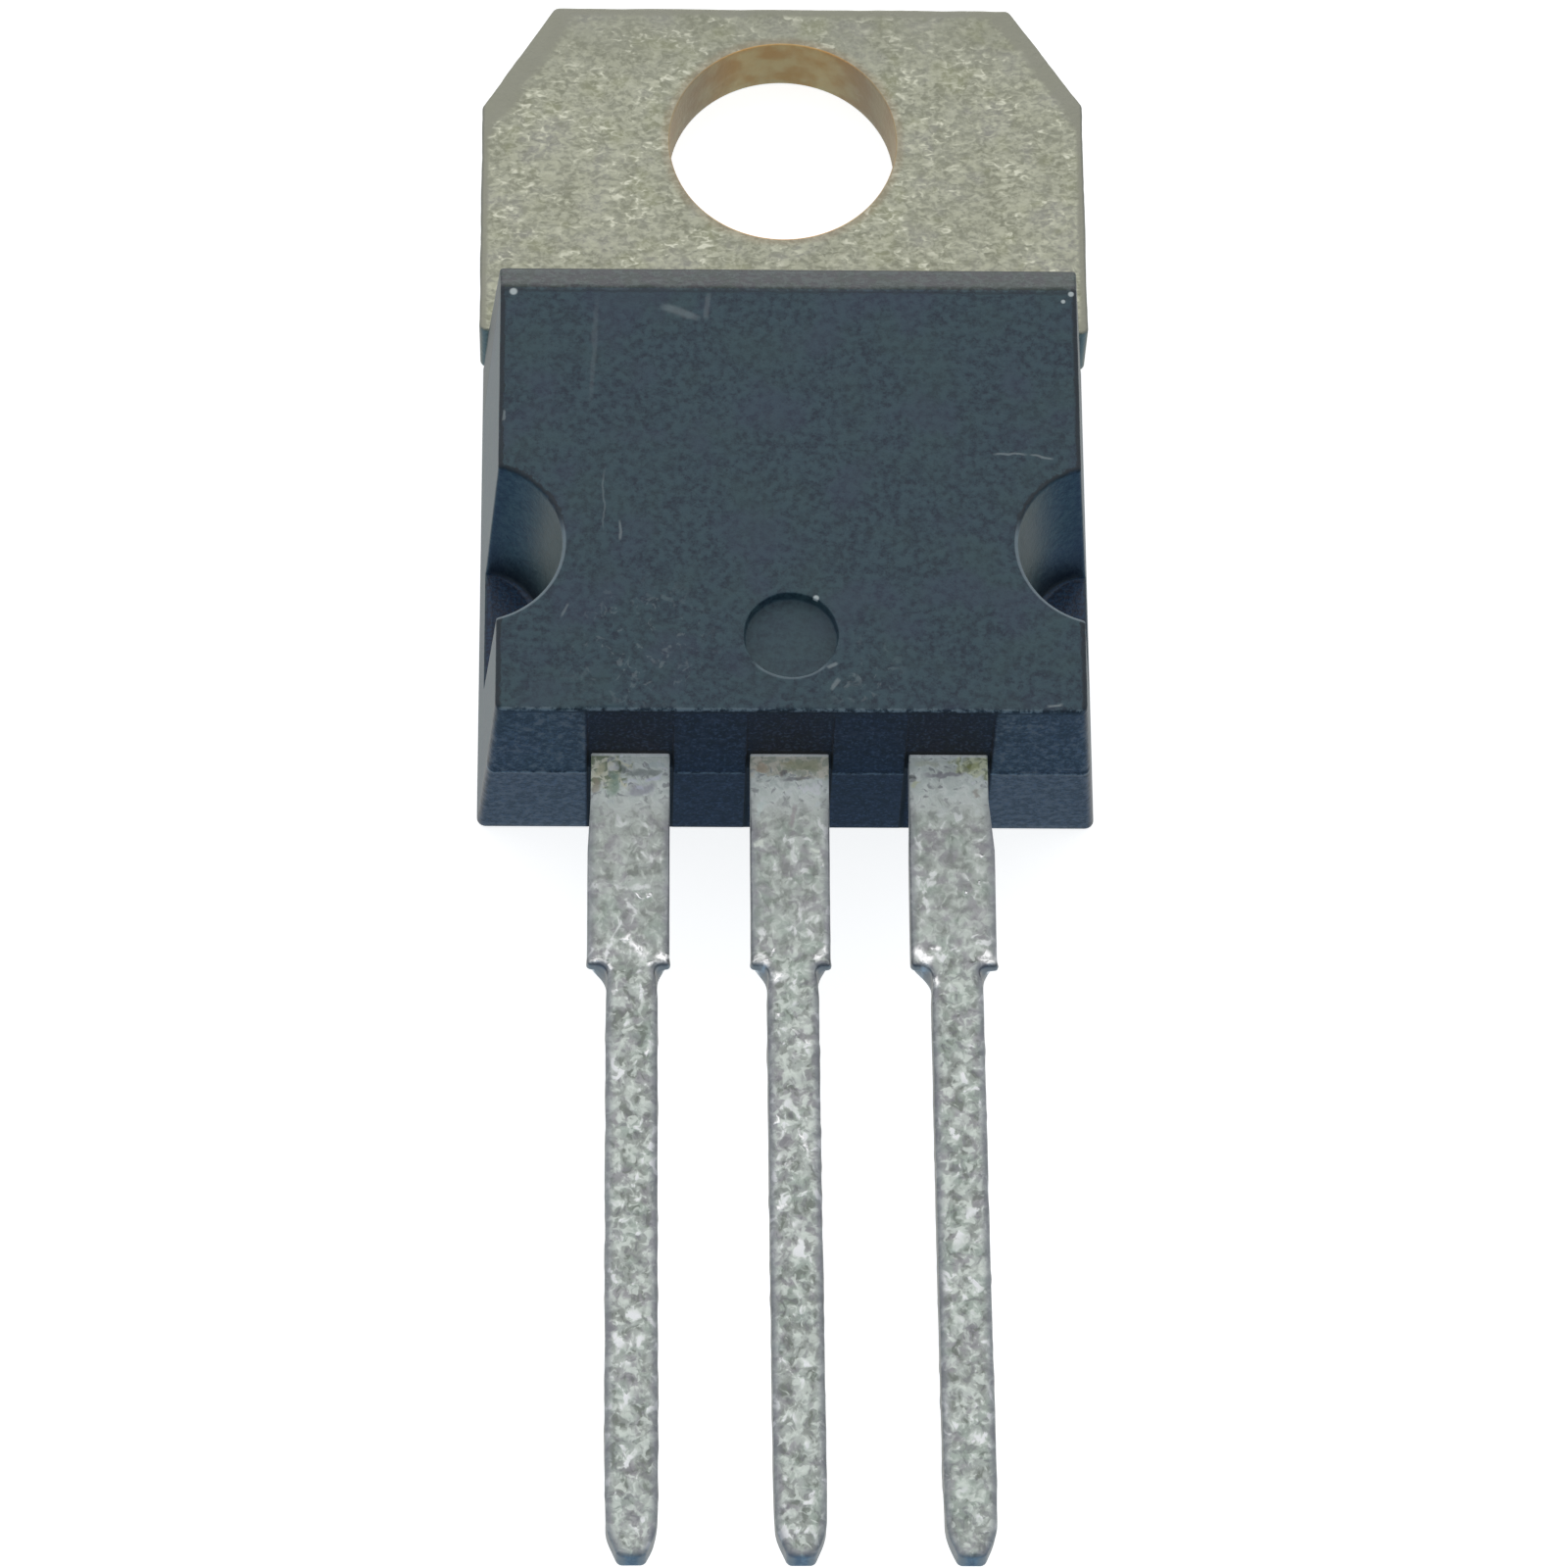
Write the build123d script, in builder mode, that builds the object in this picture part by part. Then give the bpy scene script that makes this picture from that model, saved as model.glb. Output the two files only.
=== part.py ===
"""Power transistor in a flat three-lead package with a metal mounting tab, in millimetres.

The origin is on the axis of the mounting hole, at the back of the tab. X runs across the tab, Y runs from
the leads towards the free end of the tab, and Z rises from the back to the front of the package.
"""

import os
from math import atan2, degrees, radians, tan

from build123d import *

# Mounting tab, the thick end of the stamped collector frame
tab_width = 10.2
tab_thickness = 1.27
hole_diameter = 3.84
hole_to_tab_end = 2.65
corner_cut_across = 1.22
corner_cut_along_left = 2.0
corner_cut_along_right = 1.9
corner_rounding = 0.15

# Heat spreader, the part of the frame inside the body, with a ledge and a groove that lock the moulding
spreader_width = 8.3
spreader_end_gap = 1.15
spreader_corner_radius = 0.7
ledge_step = 0.45
ledge_height = 0.55
groove_width = 0.5
groove_depth = 0.3
groove_from_tab = 1.3

# Moulded body
body_height = 4.5
body_base_width = 10.08
body_length = 8.81
hole_to_body = 3.73
side_draft = 4.6
tab_end_draft = 10.0
bevel_run = 0.53
bevel_drop = 0.3
lead_end_draft = 2.0
back_draft = 4.5
corner_radius = 0.14
face_edge_radius = 0.06

# Side notches, ejector dimple and the relief slots over the leads
notch_radius = 1.41
notch_draft = 6.7
notch_to_lead_end = 3.07
notch_floor_height = 1.4
dimple_diameter = 1.52
dimple_depth = 0.22
dimple_to_lead_end = 1.42
slot_side_gap = 0.05
slot_depth = 0.1
slot_cover = 0.08

# Leads
lead_pitch = 2.54
lead_thickness = 0.5
lead_underside_height = 2.42
lead_root_width = 1.27
lead_width = 0.77
lead_length = 13.5
shoulder_length = 3.65
shoulder_corner_radius = 0.07
shoulder_fillet_radius = 0.14
tip_length = 0.42
tip_width = 0.42
tip_side_radius = 1.0
tip_corner_radius = 0.1

# Offset bend that lifts the centre lead from the spreader to the plane of the outer leads
bend_run = 0.6
bend_setback = 0.05
bend_radius = 0.35

# Bond pads of the outer leads, inside the body
pad_width = 1.9
pad_length = 1.5
pad_depth = 0.55
anchor_hole_diameter = 0.7

# Chip, its solder and its bond wires
die_side = 2.6
die_thickness = 0.28
die_from_spreader_end = 3.6
solder_thickness = 0.06
solder_margin = 0.1
emitter_wire_diameter = 0.32
base_wire_diameter = 0.2
emitter_bond_from_centre = 0.6
base_bond_from_edge = 0.45
wire_arch = 0.35
wire_rise_end = 0.3
wire_fall_start = 0.75
wire_bend_radius = 0.4
foot_length = 0.5
foot_widening = 1.4
foot_flattening = 0.6

# Places worked out from the sizes above
lead_mid_height = lead_underside_height + lead_thickness / 2
lead_top = lead_underside_height + lead_thickness
lead_end_y = -hole_to_body - body_length
back_end_y = lead_end_y + lead_underside_height * tan(radians(back_draft))
face_end_y = lead_end_y + (body_height - lead_underside_height) * tan(radians(lead_end_draft))
bevel_foot_z = body_height - bevel_drop
bevel_foot_y = -hole_to_body - (bevel_foot_z - tab_thickness) * tan(radians(tab_end_draft))
face_width = body_base_width - 2 * body_height * tan(radians(side_draft))
spreader_end_y = lead_end_y + spreader_end_gap
die_y = spreader_end_y + die_from_spreader_end
die_top = tab_thickness + solder_thickness + die_thickness
tip_y = lead_end_y - lead_length
shoulder_y = lead_end_y - shoulder_length
shoulder_step = (lead_root_width - lead_width) / 2
pad_y = lead_end_y + pad_depth + pad_length / 2
pad_x = lead_pitch - lead_root_width / 2 + pad_width / 2


def lead_plan(x, root_y):
    """Return the plan of a lead on the line x: rounded tip, narrow leg, shoulders and root."""
    half_outline = [
        (tip_width / 2, tip_y, tip_corner_radius),
        (lead_width / 2, tip_y + tip_length, tip_side_radius),
        (lead_width / 2, shoulder_y, min(shoulder_fillet_radius, 0.6 * shoulder_step)),
        (lead_root_width / 2, shoulder_y, min(shoulder_corner_radius, 0.3 * shoulder_step)),
        (lead_root_width / 2, root_y, 0),
    ]
    right_side = [(x + half_width, y) for half_width, y, _ in half_outline]
    left_side = [(x - half_width, y) for half_width, y, _ in reversed(half_outline)]
    radii = [radius for _, _, radius in half_outline]
    with BuildSketch() as plan:
        with BuildLine():
            FilletPolyline(*right_side, *left_side, radius=radii + radii[::-1], close=True)
        make_face()
    return plan.sketch


def bond_wire(start, end, diameter):
    """Return a wire arched from start to end, points on two bonding surfaces, with a pressed foot at each."""
    arch_height = max(start.Z, end.Z) + wire_arch + diameter / 2
    lift = Vector(0, 0, diameter / 2)
    near = start + (end - start) * wire_rise_end
    far = start + (end - start) * wire_fall_start
    with BuildPart() as wire:
        with BuildLine() as path:
            FilletPolyline(
                start + lift,
                Vector(near.X, near.Y, arch_height),
                Vector(far.X, far.Y, arch_height),
                end + lift,
                radius=wire_bend_radius,
            )
        with BuildSketch(Plane(path.line ^ 0)):
            Circle(diameter / 2)
        sweep()
        heading = degrees(atan2(end.Y - start.Y, end.X - start.X))
        with Locations(start, end):
            Box(
                foot_length,
                diameter * foot_widening,
                diameter * foot_flattening,
                rotation=(0, 0, heading),
                align=(Align.CENTER, Align.CENTER, Align.MIN),
            )
    return wire.part


os.makedirs("parts", exist_ok=True)

# Centre lead, bent up from the plane of the spreader to the plane of the outer leads
with BuildPart() as centre_lead:
    with BuildSketch(Plane.YZ):
        with BuildLine():
            FilletPolyline(
                (spreader_end_y + lead_thickness, tab_thickness - lead_thickness / 2),
                (spreader_end_y - bend_setback, tab_thickness - lead_thickness / 2),
                (spreader_end_y - bend_setback - bend_run, lead_mid_height),
                (tip_y - lead_thickness, lead_mid_height),
                radius=bend_radius,
            )
        trace(line_width=lead_thickness)
    extrude(amount=lead_root_width, both=True)
    extrude(lead_plan(0, spreader_end_y + lead_thickness / 2), amount=body_height, mode=Mode.INTERSECT)

# Collector frame: mounting tab, heat spreader and centre lead in one stamped piece
with BuildPart() as collector_frame:
    half_tab = tab_width / 2
    with BuildSketch():
        with BuildLine():
            FilletPolyline(
                (-half_tab, -hole_to_body),
                (half_tab, -hole_to_body),
                (half_tab, hole_to_tab_end - corner_cut_along_right),
                (half_tab - corner_cut_across, hole_to_tab_end),
                (-half_tab + corner_cut_across, hole_to_tab_end),
                (-half_tab, hole_to_tab_end - corner_cut_along_left),
                radius=[0, 0] + [corner_rounding] * 4,
                close=True,
            )
        make_face()
    extrude(amount=tab_thickness)
    Hole(hole_diameter / 2)
    for base_height, step in ((0, ledge_step), (ledge_height, 0)):
        spreader_length = -hole_to_body - spreader_end_y - step
        with BuildSketch(Plane.XY.offset(base_height)) as spreader:
            with Locations((0, -hole_to_body)):
                Rectangle(
                    spreader_width - 2 * step,
                    spreader_length,
                    align=(Align.CENTER, Align.MAX),
                )
            fillet(spreader.vertices().group_by(Axis.Y)[0], spreader_corner_radius)
        extrude(amount=(tab_thickness if step == 0 else ledge_height) - base_height)
    with Locations((0, -hole_to_body - groove_from_tab, tab_thickness)):
        Box(
            spreader_width,
            groove_width,
            groove_depth,
            align=(Align.CENTER, Align.CENTER, Align.MAX),
            mode=Mode.SUBTRACT,
        )
    add(centre_lead.part)
collector_frame.part.label = "collector_frame"
export_step(collector_frame.part, "parts/collector_frame.step")

# Base lead, with its bond pad set out to the side so that it stays clear of the centre lead
with BuildPart() as base_lead:
    with BuildSketch(Plane.XY.offset(lead_underside_height)):
        add(lead_plan(-lead_pitch, lead_end_y + pad_depth + anchor_hole_diameter))
        with Locations((-pad_x, pad_y)):
            Rectangle(pad_width, pad_length)
        with Locations((-lead_pitch, lead_end_y + pad_depth)):
            Circle(anchor_hole_diameter / 2, mode=Mode.SUBTRACT)
    extrude(amount=lead_thickness)
base_lead.part.label = "base_lead"
export_step(base_lead.part, "parts/base_lead.step")

# Emitter lead, the mirror image of the base lead
with BuildPart() as emitter_lead:
    mirror(base_lead.part, about=Plane.YZ)
emitter_lead.part.label = "emitter_lead"
export_step(emitter_lead.part, "parts/emitter_lead.step")

# Solder layer between the spreader and the chip
with BuildPart() as die_solder:
    with Locations((0, die_y, tab_thickness)):
        Box(
            die_side + 2 * solder_margin,
            die_side + 2 * solder_margin,
            solder_thickness,
            align=(Align.CENTER, Align.CENTER, Align.MIN),
        )
die_solder.part.label = "die_solder"
export_step(die_solder.part, "parts/die_solder.step")

# Transistor chip
with BuildPart() as silicon_die:
    with Locations((0, die_y, tab_thickness + solder_thickness)):
        Box(die_side, die_side, die_thickness, align=(Align.CENTER, Align.CENTER, Align.MIN))
silicon_die.part.label = "silicon_die"
export_step(silicon_die.part, "parts/silicon_die.step")

# Bond wires from the chip to the pads of the outer leads
with BuildPart() as emitter_bond_wire:
    add(
        bond_wire(
            Vector(emitter_bond_from_centre, die_y, die_top),
            Vector(pad_x, pad_y, lead_top),
            emitter_wire_diameter,
        )
    )
emitter_bond_wire.part.label = "emitter_bond_wire"
export_step(emitter_bond_wire.part, "parts/emitter_bond_wire.step")

with BuildPart() as base_bond_wire:
    base_bond = base_bond_from_edge - die_side / 2
    add(
        bond_wire(
            Vector(base_bond, die_y + base_bond, die_top),
            Vector(-pad_x, pad_y, lead_top),
            base_wire_diameter,
        )
    )
base_bond_wire.part.label = "base_bond_wire"
export_step(base_bond_wire.part, "parts/base_bond_wire.step")

# Moulded body, drafted both ways from its parting line, with exact seats for all that it encloses
with BuildPart() as moulded_body:
    with BuildSketch(Plane.YZ):
        with BuildLine():
            Polyline(
                (-hole_to_body, 0),
                (-hole_to_body, tab_thickness),
                (bevel_foot_y, bevel_foot_z),
                (bevel_foot_y - bevel_run, body_height),
                (face_end_y, body_height),
                (lead_end_y, lead_underside_height),
                (back_end_y, 0),
                close=True,
            )
        make_face()
    extrude(amount=body_base_width, both=True)
    with BuildSketch(Plane.XZ):
        with BuildLine():
            Polyline(
                (-body_base_width / 2, 0),
                (body_base_width / 2, 0),
                (face_width / 2, body_height),
                (-face_width / 2, body_height),
                close=True,
            )
        make_face()
    extrude(amount=-2 * lead_end_y, both=True, mode=Mode.INTERSECT)
    wall_corners = moulded_body.edges().filter_by(lambda edge: abs((edge % 0.5).Z) > 0.8)
    fillet(
        wall_corners.filter_by(lambda edge: (edge @ 0.5).Z > tab_thickness or (edge @ 0.5).Y < die_y),
        corner_radius,
    )

    # Half-round notch in each side, narrowing to its floor
    notch_height = body_height - notch_floor_height
    notch_y = lead_end_y + notch_to_lead_end
    with Locations(
        (-body_base_width / 2, notch_y, notch_floor_height),
        (body_base_width / 2, notch_y, notch_floor_height),
    ):
        Cone(
            notch_radius - notch_height * tan(radians(notch_draft)),
            notch_radius,
            notch_height,
            align=(Align.CENTER, Align.CENTER, Align.MIN),
            mode=Mode.SUBTRACT,
        )
    fillet(moulded_body.faces().sort_by(Axis.Z)[-1].edges(), face_edge_radius)

    # Relief slot in the end wall at each lead
    for x in (-lead_pitch, 0, lead_pitch):
        with BuildSketch(Plane.YZ.offset(x)):
            with BuildLine():
                Polyline(
                    (lead_end_y - slot_depth, 0),
                    (back_end_y + slot_depth, 0),
                    (lead_end_y + slot_depth, lead_underside_height),
                    (face_end_y, body_height - slot_cover),
                    (lead_end_y - slot_depth, body_height - slot_cover),
                    close=True,
                )
            make_face()
        extrude(amount=lead_root_width / 2 + slot_side_gap, both=True, mode=Mode.SUBTRACT)

    # Round mark of the ejector pin
    with Locations((0, lead_end_y + dimple_to_lead_end, body_height)):
        Cylinder(
            dimple_diameter / 2,
            dimple_depth,
            align=(Align.CENTER, Align.CENTER, Align.MAX),
            mode=Mode.SUBTRACT,
        )

    # Seats of the enclosed pieces
    for insert in (
        collector_frame,
        base_lead,
        emitter_lead,
        die_solder,
        silicon_die,
        emitter_bond_wire,
        base_bond_wire,
    ):
        add(insert.part, mode=Mode.SUBTRACT)
moulded_body.part.label = "moulded_body"
export_step(moulded_body.part, "parts/moulded_body.step")
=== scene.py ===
from math import cos, pi, radians, sin, sqrt, tan

import bmesh
import bpy
import numpy as np
from mathutils import Euler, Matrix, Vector


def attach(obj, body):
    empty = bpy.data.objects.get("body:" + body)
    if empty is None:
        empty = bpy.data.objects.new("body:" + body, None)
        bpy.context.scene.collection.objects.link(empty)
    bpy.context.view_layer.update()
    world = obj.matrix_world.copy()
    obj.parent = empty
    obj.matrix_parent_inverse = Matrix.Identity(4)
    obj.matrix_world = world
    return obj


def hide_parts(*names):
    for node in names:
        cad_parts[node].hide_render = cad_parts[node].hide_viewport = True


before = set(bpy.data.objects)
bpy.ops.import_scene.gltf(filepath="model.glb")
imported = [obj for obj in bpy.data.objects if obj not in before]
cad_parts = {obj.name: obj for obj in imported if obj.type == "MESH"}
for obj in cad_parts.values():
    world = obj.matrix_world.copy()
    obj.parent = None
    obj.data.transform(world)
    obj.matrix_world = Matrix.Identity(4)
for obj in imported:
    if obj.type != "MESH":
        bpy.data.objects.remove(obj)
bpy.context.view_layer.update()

# Tab and heat spreader: one plate stamped from copper strip and tin-plated, with the mounting hole
# punched through it. Its free part is the tab, and the narrower part is moulded into the body.
MM = 0.001
tab_width = 10.2
tab_thickness = 1.27
hole_radius = 1.92
hole_to_tab_end = 2.65
hole_to_body = 3.73
corner_cut_across = 1.22
corner_cut_along_left = 2.0
corner_cut_along_right = 1.9
corner_rounding = 0.15
spreader_width = 8.3
spreader_end_y = -11.39
ledge_step = 0.45
ledge_height = 0.55
neck_rounding = 0.12
ledge_rounding = 0.04
spreader_rounding = 0.7
punched_edge = 0.045
hole_edge = 0.025
broken_edge = 0.05
plate_skin = 0.009
ledge_gap = 0.005
weld_distance = 1e-7


def ripple(across, along, size, seed):
    """Smooth random heights from -1 to 1: random values on a square lattice of that size, with each cell
    filled by easing from corner to corner along both of its sides."""
    cells = 256
    lattice = np.random.default_rng(seed).uniform(-1, 1, (cells, cells))
    a, b = np.broadcast_arrays(np.asarray(across) / size, np.asarray(along) / size)
    cell_a, cell_b = np.floor(a).astype(int), np.floor(b).astype(int)
    ease_a, ease_b = (part * part * (3 - 2 * part) for part in (a - cell_a, b - cell_b))
    near, far = (
        lattice[cell_a % cells, cell % cells] * (1 - ease_a)
        + lattice[(cell_a + 1) % cells, cell % cells] * ease_a
        for cell in (cell_b, cell_b + 1)
    )
    return near * (1 - ease_b) + far * ease_b


def rounded_line(corners, radii, counts, arc_count=9, closed=True):
    """Straight runs between corners, each corner turned on an arc that is tangent to both of its runs.
    Every run and arc has its own count of points, so lines with like corners match point by point.
    Returns the points and the unit normals to the right of travel."""
    corners = np.array(corners, float)
    total = len(corners)
    before, after = np.roll(corners, 1, 0), np.roll(corners, -1, 0)
    arrive = (corners - before) / np.linalg.norm(corners - before, axis=1)[:, None]
    leave = (after - corners) / np.linalg.norm(after - corners, axis=1)[:, None]
    turn = np.arctan2(arrive[:, 0] * leave[:, 1] - arrive[:, 1] * leave[:, 0], (arrive * leave).sum(1))
    points, normals = [], []
    for i in range(total):
        share = np.linspace(0, 1, arc_count)
        heading = np.arctan2(arrive[i, 1], arrive[i, 0]) + turn[i] * share
        normal = np.stack([np.sin(heading), -np.cos(heading)], 1)
        reach = radii[i] * np.tan(abs(turn[i]) / 2)
        side = np.sign(turn[i]) * radii[i]
        centre = corners[i] - arrive[i] * reach - side * normal[0]
        if closed or 0 < i < total - 1:
            points.append(centre + side * normal)
            normals.append(normal)
        else:
            end = leave[i] if i == 0 else arrive[i]
            points.append(corners[i][None])
            normals.append(np.array([[end[1], -end[0]]]))
        if closed or i < total - 1:
            follows = (i + 1) % total
            turned = closed or follows < total - 1
            next_reach = radii[follows] * np.tan(abs(turn[follows]) / 2) if turned else 0
            start = corners[i] + leave[i] * (reach if closed or i > 0 else 0)
            stop = corners[follows] - leave[i] * next_reach
            share = np.linspace(0, 1, counts[i] + 2)[1:-1, None]
            points.append(start + (stop - start) * share)
            normals.append(np.repeat([[leave[i, 1], -leave[i, 0]]], counts[i], 0))
    return np.concatenate(points), np.concatenate(normals)


def skin(name, grid, wrap_rows=False, poles=(), rim=None):
    """Makes a closed mesh object from a grid of points in millimetres, whose columns close on
    themselves. The rows close too, or each end row is joined to a pole. rim gives each point of the
    grid its own tone, which the finish can read."""
    rows, columns = grid.shape[:2]
    index = np.arange(rows * columns).reshape(rows, columns)
    beside = np.roll(index, -1, 1)
    if wrap_rows:
        low, high, low_beside, high_beside = index, np.roll(index, -1, 0), beside, np.roll(beside, -1, 0)
    else:
        low, high, low_beside, high_beside = index[:-1], index[1:], beside[:-1], beside[1:]
    quads = np.stack([low, low_beside, high_beside, high], -1).reshape(-1, 4)
    points = grid.reshape(-1, 3)
    faces = quads.tolist()
    if len(poles):
        points = np.concatenate([points, np.array(poles, float)])
        first = np.stack([np.full(columns, rows * columns), beside[0], index[0]], 1)
        last = np.stack([np.full(columns, rows * columns + 1), index[-1], beside[-1]], 1)
        faces += first.tolist() + last.tolist()
    corners = points[quads]
    spread = np.cross(corners[:, 2] - corners[:, 0], corners[:, 3] - corners[:, 1])
    if (spread * corners.mean(1)).sum() < 0:
        faces = [face[::-1] for face in faces]
    mesh = bpy.data.meshes.new(name)
    mesh.from_pydata((points * MM).tolist(), [], faces)
    if rim is not None:
        tones = np.zeros(len(points), np.float32)
        tones[: rows * columns] = rim.reshape(-1)
        mesh.attributes.new("rim", "FLOAT", "POINT").data.foreach_set("value", tones)
    made = bpy.data.objects.new(name, mesh)
    bpy.context.scene.collection.objects.link(made)
    merged = bmesh.new()
    merged.from_mesh(mesh)
    bmesh.ops.remove_doubles(merged, verts=merged.verts, dist=weld_distance)
    merged.to_mesh(mesh)
    merged.free()
    mesh.shade_smooth()
    return made


class Tone:
    """A socket that carries one number over the surface. Python's operators add the Math nodes."""

    def __init__(self, finish, socket):
        self.finish, self.socket = finish, socket

    def math(self, operation, *values):
        return self.finish.node("ShaderNodeMath", {"operation": operation}, dict(enumerate(values)))

    def __add__(self, other):
        return self.math("ADD", self, other)

    def __sub__(self, other):
        return self.math("SUBTRACT", self, other)

    def __rsub__(self, other):
        return self.math("SUBTRACT", other, self)

    def __mul__(self, other):
        return self.math("MULTIPLY", self, other)

    def __abs__(self):
        return self.math("ABSOLUTE", self)

    __radd__, __rmul__ = __add__, __mul__

    def rises(self, low, high):
        """Goes smoothly from 0 at low to 1 at high, or back down where high is the smaller."""
        return self.finish.node(
            "ShaderNodeMapRange",
            {"interpolation_type": "SMOOTHSTEP"},
            {"Value": self, "From Min": low, "From Max": high},
        )

    def either(self, other):
        return self.math("MAXIMUM", self, other)


class Finish:
    """A material made of nodes on the piece's own coordinates, in millimetres."""

    def __init__(self, name):
        self.material = bpy.data.materials.new(name)
        self.material.use_nodes = True
        self.tree = self.material.node_tree
        self.tree.nodes.clear()
        self.take(self.vector("SCALE", self.node("ShaderNodeTexCoord", output="Object"), Scale=1 / MM))

    def take(self, place):
        """Takes a socket as the place, and splits it into x, y and z."""
        self.place = place
        self.x, self.y, self.z = (
            self.node("ShaderNodeSeparateXYZ", (), {0: place}, axis) for axis in "XYZ"
        )

    def node(self, kind, settings=(), sockets=(), output=0):
        """Adds a node: its type, its settings, then the values or links of its sockets."""
        made = self.tree.nodes.new(kind)
        for key, value in dict(settings).items():
            setattr(made, key, value)
        for key, value in dict(sockets).items():
            if isinstance(value, Tone):
                self.tree.links.new(value.socket, made.inputs[key])
            else:
                made.inputs[key].default_value = value
        return Tone(self, made.outputs[output])

    def vector(self, operation, *values, output=0, **named):
        sockets = {**dict(enumerate(values)), **named}
        return self.node("ShaderNodeVectorMath", {"operation": operation}, sockets, output)

    def stretched(self, x, y, z=1):
        return self.vector("MULTIPLY", self.place, (x, y, z))

    def noise(self, scale, detail=2, roughness=0.5, distortion=0, place=None):
        """Noise about 0.5, with scale in waves per millimetre."""
        sockets = {"Scale": scale, "Detail": detail, "Roughness": roughness, "Distortion": distortion}
        return self.node("ShaderNodeTexNoise", (), {"Vector": place or self.place, **sockets})

    def mix(self, factor, below, above):
        return self.node("ShaderNodeMix", {"data_type": "RGBA"}, {0: factor, 6: below, 7: above}, 2)

    def coat(self, factor, above):
        """Lays a colour, or the one a screen code stands for, over the colours laid so far."""
        above = ink(above) if isinstance(above, str) else above
        self.colour = self.mix(factor, self.colour, above)

    def distance(self, x, y):
        """Distance in the plan from a line that runs through (x, y) along Z."""
        from_line = self.vector("SUBTRACT", self.stretched(1, 1, 0), (x, y, 0))
        return self.vector("LENGTH", from_line, output="Value")

    def shaken(self, scale, reach):
        """The place, moved every way by noise of that scale, up to half the reach."""
        way = self.node("ShaderNodeTexNoise", (), {"Vector": self.place, "Scale": scale}, "Color")
        way = self.vector("SUBTRACT", way, (0.5, 0.5, 0.5))
        return self.vector("ADD", self.place, self.vector("SCALE", way, Scale=reach))

    def scratch(self, x, y, length, width, turn, place=None):
        """A short line in the plan, 1 along its middle and fading at its sides and ends. turn is in
        degrees from X."""
        way = radians(turn)
        from_middle = self.vector("SUBTRACT", place or self.place, (x, y, 0))
        along, across = (
            self.vector("DOT_PRODUCT", from_middle, axis, output="Value")
            for axis in ((cos(way), sin(way), 0), (-sin(way), cos(way), 0))
        )
        return abs(along).rises(length / 2, length / 4) * abs(across).rises(width, width / 4)

    def surface(self, colour, roughness, height=None, depth=0.01, metallic=0.0, **constants):
        """Finishes the material: height is a tone that depth millimetres of relief follows."""
        sockets = {"Base Color": colour, "Roughness": roughness, "Metallic": metallic, **constants}
        if height is not None:
            sockets["Normal"] = self.node(
                "ShaderNodeBump", (), {"Strength": 1.0, "Distance": depth * MM, "Height": height}
            )
        shader = self.node("ShaderNodeBsdfPrincipled", (), sockets)
        self.close(shader)
        return self.material

    def close(self, shader):
        end = self.tree.nodes.new("ShaderNodeOutputMaterial")
        self.tree.links.new(shader.socket, end.inputs["Surface"])


def ink(code):
    """The linear colour of a six-figure screen colour."""
    parts = [int(code[i : i + 2], 16) / 255 for i in (0, 2, 4)]
    return (*[p / 12.92 if p <= 0.04045 else ((p + 0.055) / 1.055) ** 2.4 for p in parts], 1.0)


def plate_outline(side_x, end_y):
    """Outline of the plate, with the tab above the body's edge and the spreader below it."""
    half = tab_width / 2
    return rounded_line(
        [
            (half, -hole_to_body),
            (half, hole_to_tab_end - corner_cut_along_right),
            (half - corner_cut_across, hole_to_tab_end),
            (-half + corner_cut_across, hole_to_tab_end),
            (-half, hole_to_tab_end - corner_cut_along_left),
            (-half, -hole_to_body),
            (-side_x, -hole_to_body),
            (-side_x, end_y),
            (side_x, end_y),
            (side_x, -hole_to_body),
        ],
        [
            neck_rounding,
            *[corner_rounding] * 4,
            neck_rounding,
            ledge_rounding,
            *[spreader_rounding] * 2,
            ledge_rounding,
        ],
        [70, 26, 100, 28, 66, 10, 60, 60, 60, 10],
    )


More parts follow.
